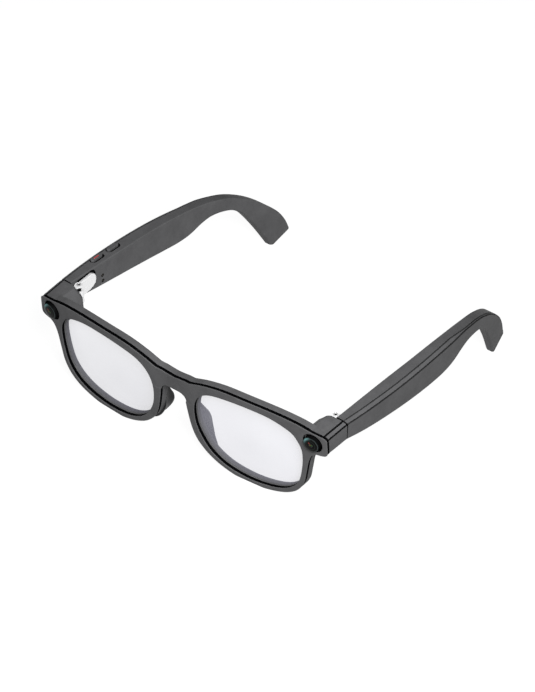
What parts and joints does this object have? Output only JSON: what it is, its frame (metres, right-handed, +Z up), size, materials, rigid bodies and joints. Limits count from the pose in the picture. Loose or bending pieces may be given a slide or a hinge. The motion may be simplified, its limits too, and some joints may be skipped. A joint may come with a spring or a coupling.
{
  "type": "smart glasses",
  "caption": "Full-rim smart glasses with a small camera at each upper corner, thick folding temples that house electronics, clear lenses and push buttons on one temple.",
  "frame": {"origin": "middle of the bounding box in plan, on the ground plane that the rims and the temple tips stand on", "axes": "+X to the wearer's left, +Y backwards from the front towards the temple tips, +Z up"},
  "size_m": [0.154, 0.1466, 0.0439],
  "materials": {
    "frame_plastic": "satin",
    "seal": "matt",
    "lens": "polished, lightly tinted",
    "pad": "satin",
    "camera_black": "satin",
    "camera_glass": "polished, coated",
    "hinge_steel": "satin",
    "screw_steel": "satin",
    "board": "satin",
    "flex": "satin",
    "battery_foil": "satin",
    "speaker_black": "satin",
    "microphone_can": "satin",
    "button_plastic": "satin",
    "mark_red": "gloss",
    "contact_gold": "satin"
  },
  "bodies": {
    "front": {"front_plate": "frame_plastic", "front_gasket": "seal", "back_frame": "frame_plastic", "brow_flex_circuit": "flex", "lens_left": "lens", "lens_right": "lens", "nose_pad_left": "pad", "nose_pad_right": "pad", "camera_bezel_left": "camera_black", "camera_bezel_right": "camera_black", "camera_cover_left": "camera_glass", "camera_cover_right": "camera_glass", "camera_module_left": "camera_black", "camera_module_right": "camera_black", "camera_board_left": "board", "camera_board_right": "board", "hinge_front_leaf_left": "hinge_steel", "hinge_front_leaf_right": "hinge_steel", "hinge_screw_left": "screw_steel", "hinge_screw_right": "screw_steel"},
    "temple_left": {"temple_shell_left": "frame_plastic", "temple_cover_left": "frame_plastic", "hinge_temple_leaf_left": "hinge_steel", "battery_left": "battery_foil", "speaker_left": "speaker_black", "audio_board": "board", "microphone_left": "microphone_can"},
    "temple_right": {"temple_shell_right": "frame_plastic", "temple_cover_right": "frame_plastic", "hinge_temple_leaf_right": "hinge_steel", "battery_right": "battery_foil", "speaker_right": "speaker_black", "main_board": "board", "microphone_right": "microphone_can", "switch_capture": "camera_black", "switch_power": "camera_black", "charging_contacts": "contact_gold"},
    "capture_button": {"button_capture": "button_plastic", "button_capture_mark": "mark_red"},
    "power_button": {"button_power": "button_plastic"}
  },
  "joints": [
    {"name": "temple_left_fold", "type": "hinge", "parent": "front", "child": "temple_left", "pos_m": [0.068, -0.05206, 0.03651], "axis": [0, -0.0785, 0.9969], "range_deg": [0, 90]},
    {"name": "temple_right_fold", "type": "hinge", "parent": "front", "child": "temple_right", "pos_m": [-0.068, -0.05206, 0.03651], "axis": [0, 0.0785, -0.9969], "range_deg": [0, 78]},
    {"name": "capture_press", "type": "slide", "parent": "temple_right", "child": "capture_button", "axis": [0, -0.0198, -0.9998], "range_m": [0, 0.00035], "stiffness_N_per_m": 4000},
    {"name": "power_press", "type": "slide", "parent": "temple_right", "child": "power_button", "axis": [0, -0.0245, -0.9997], "range_m": [0, 0.00035], "stiffness_N_per_m": 4000}
  ]
}
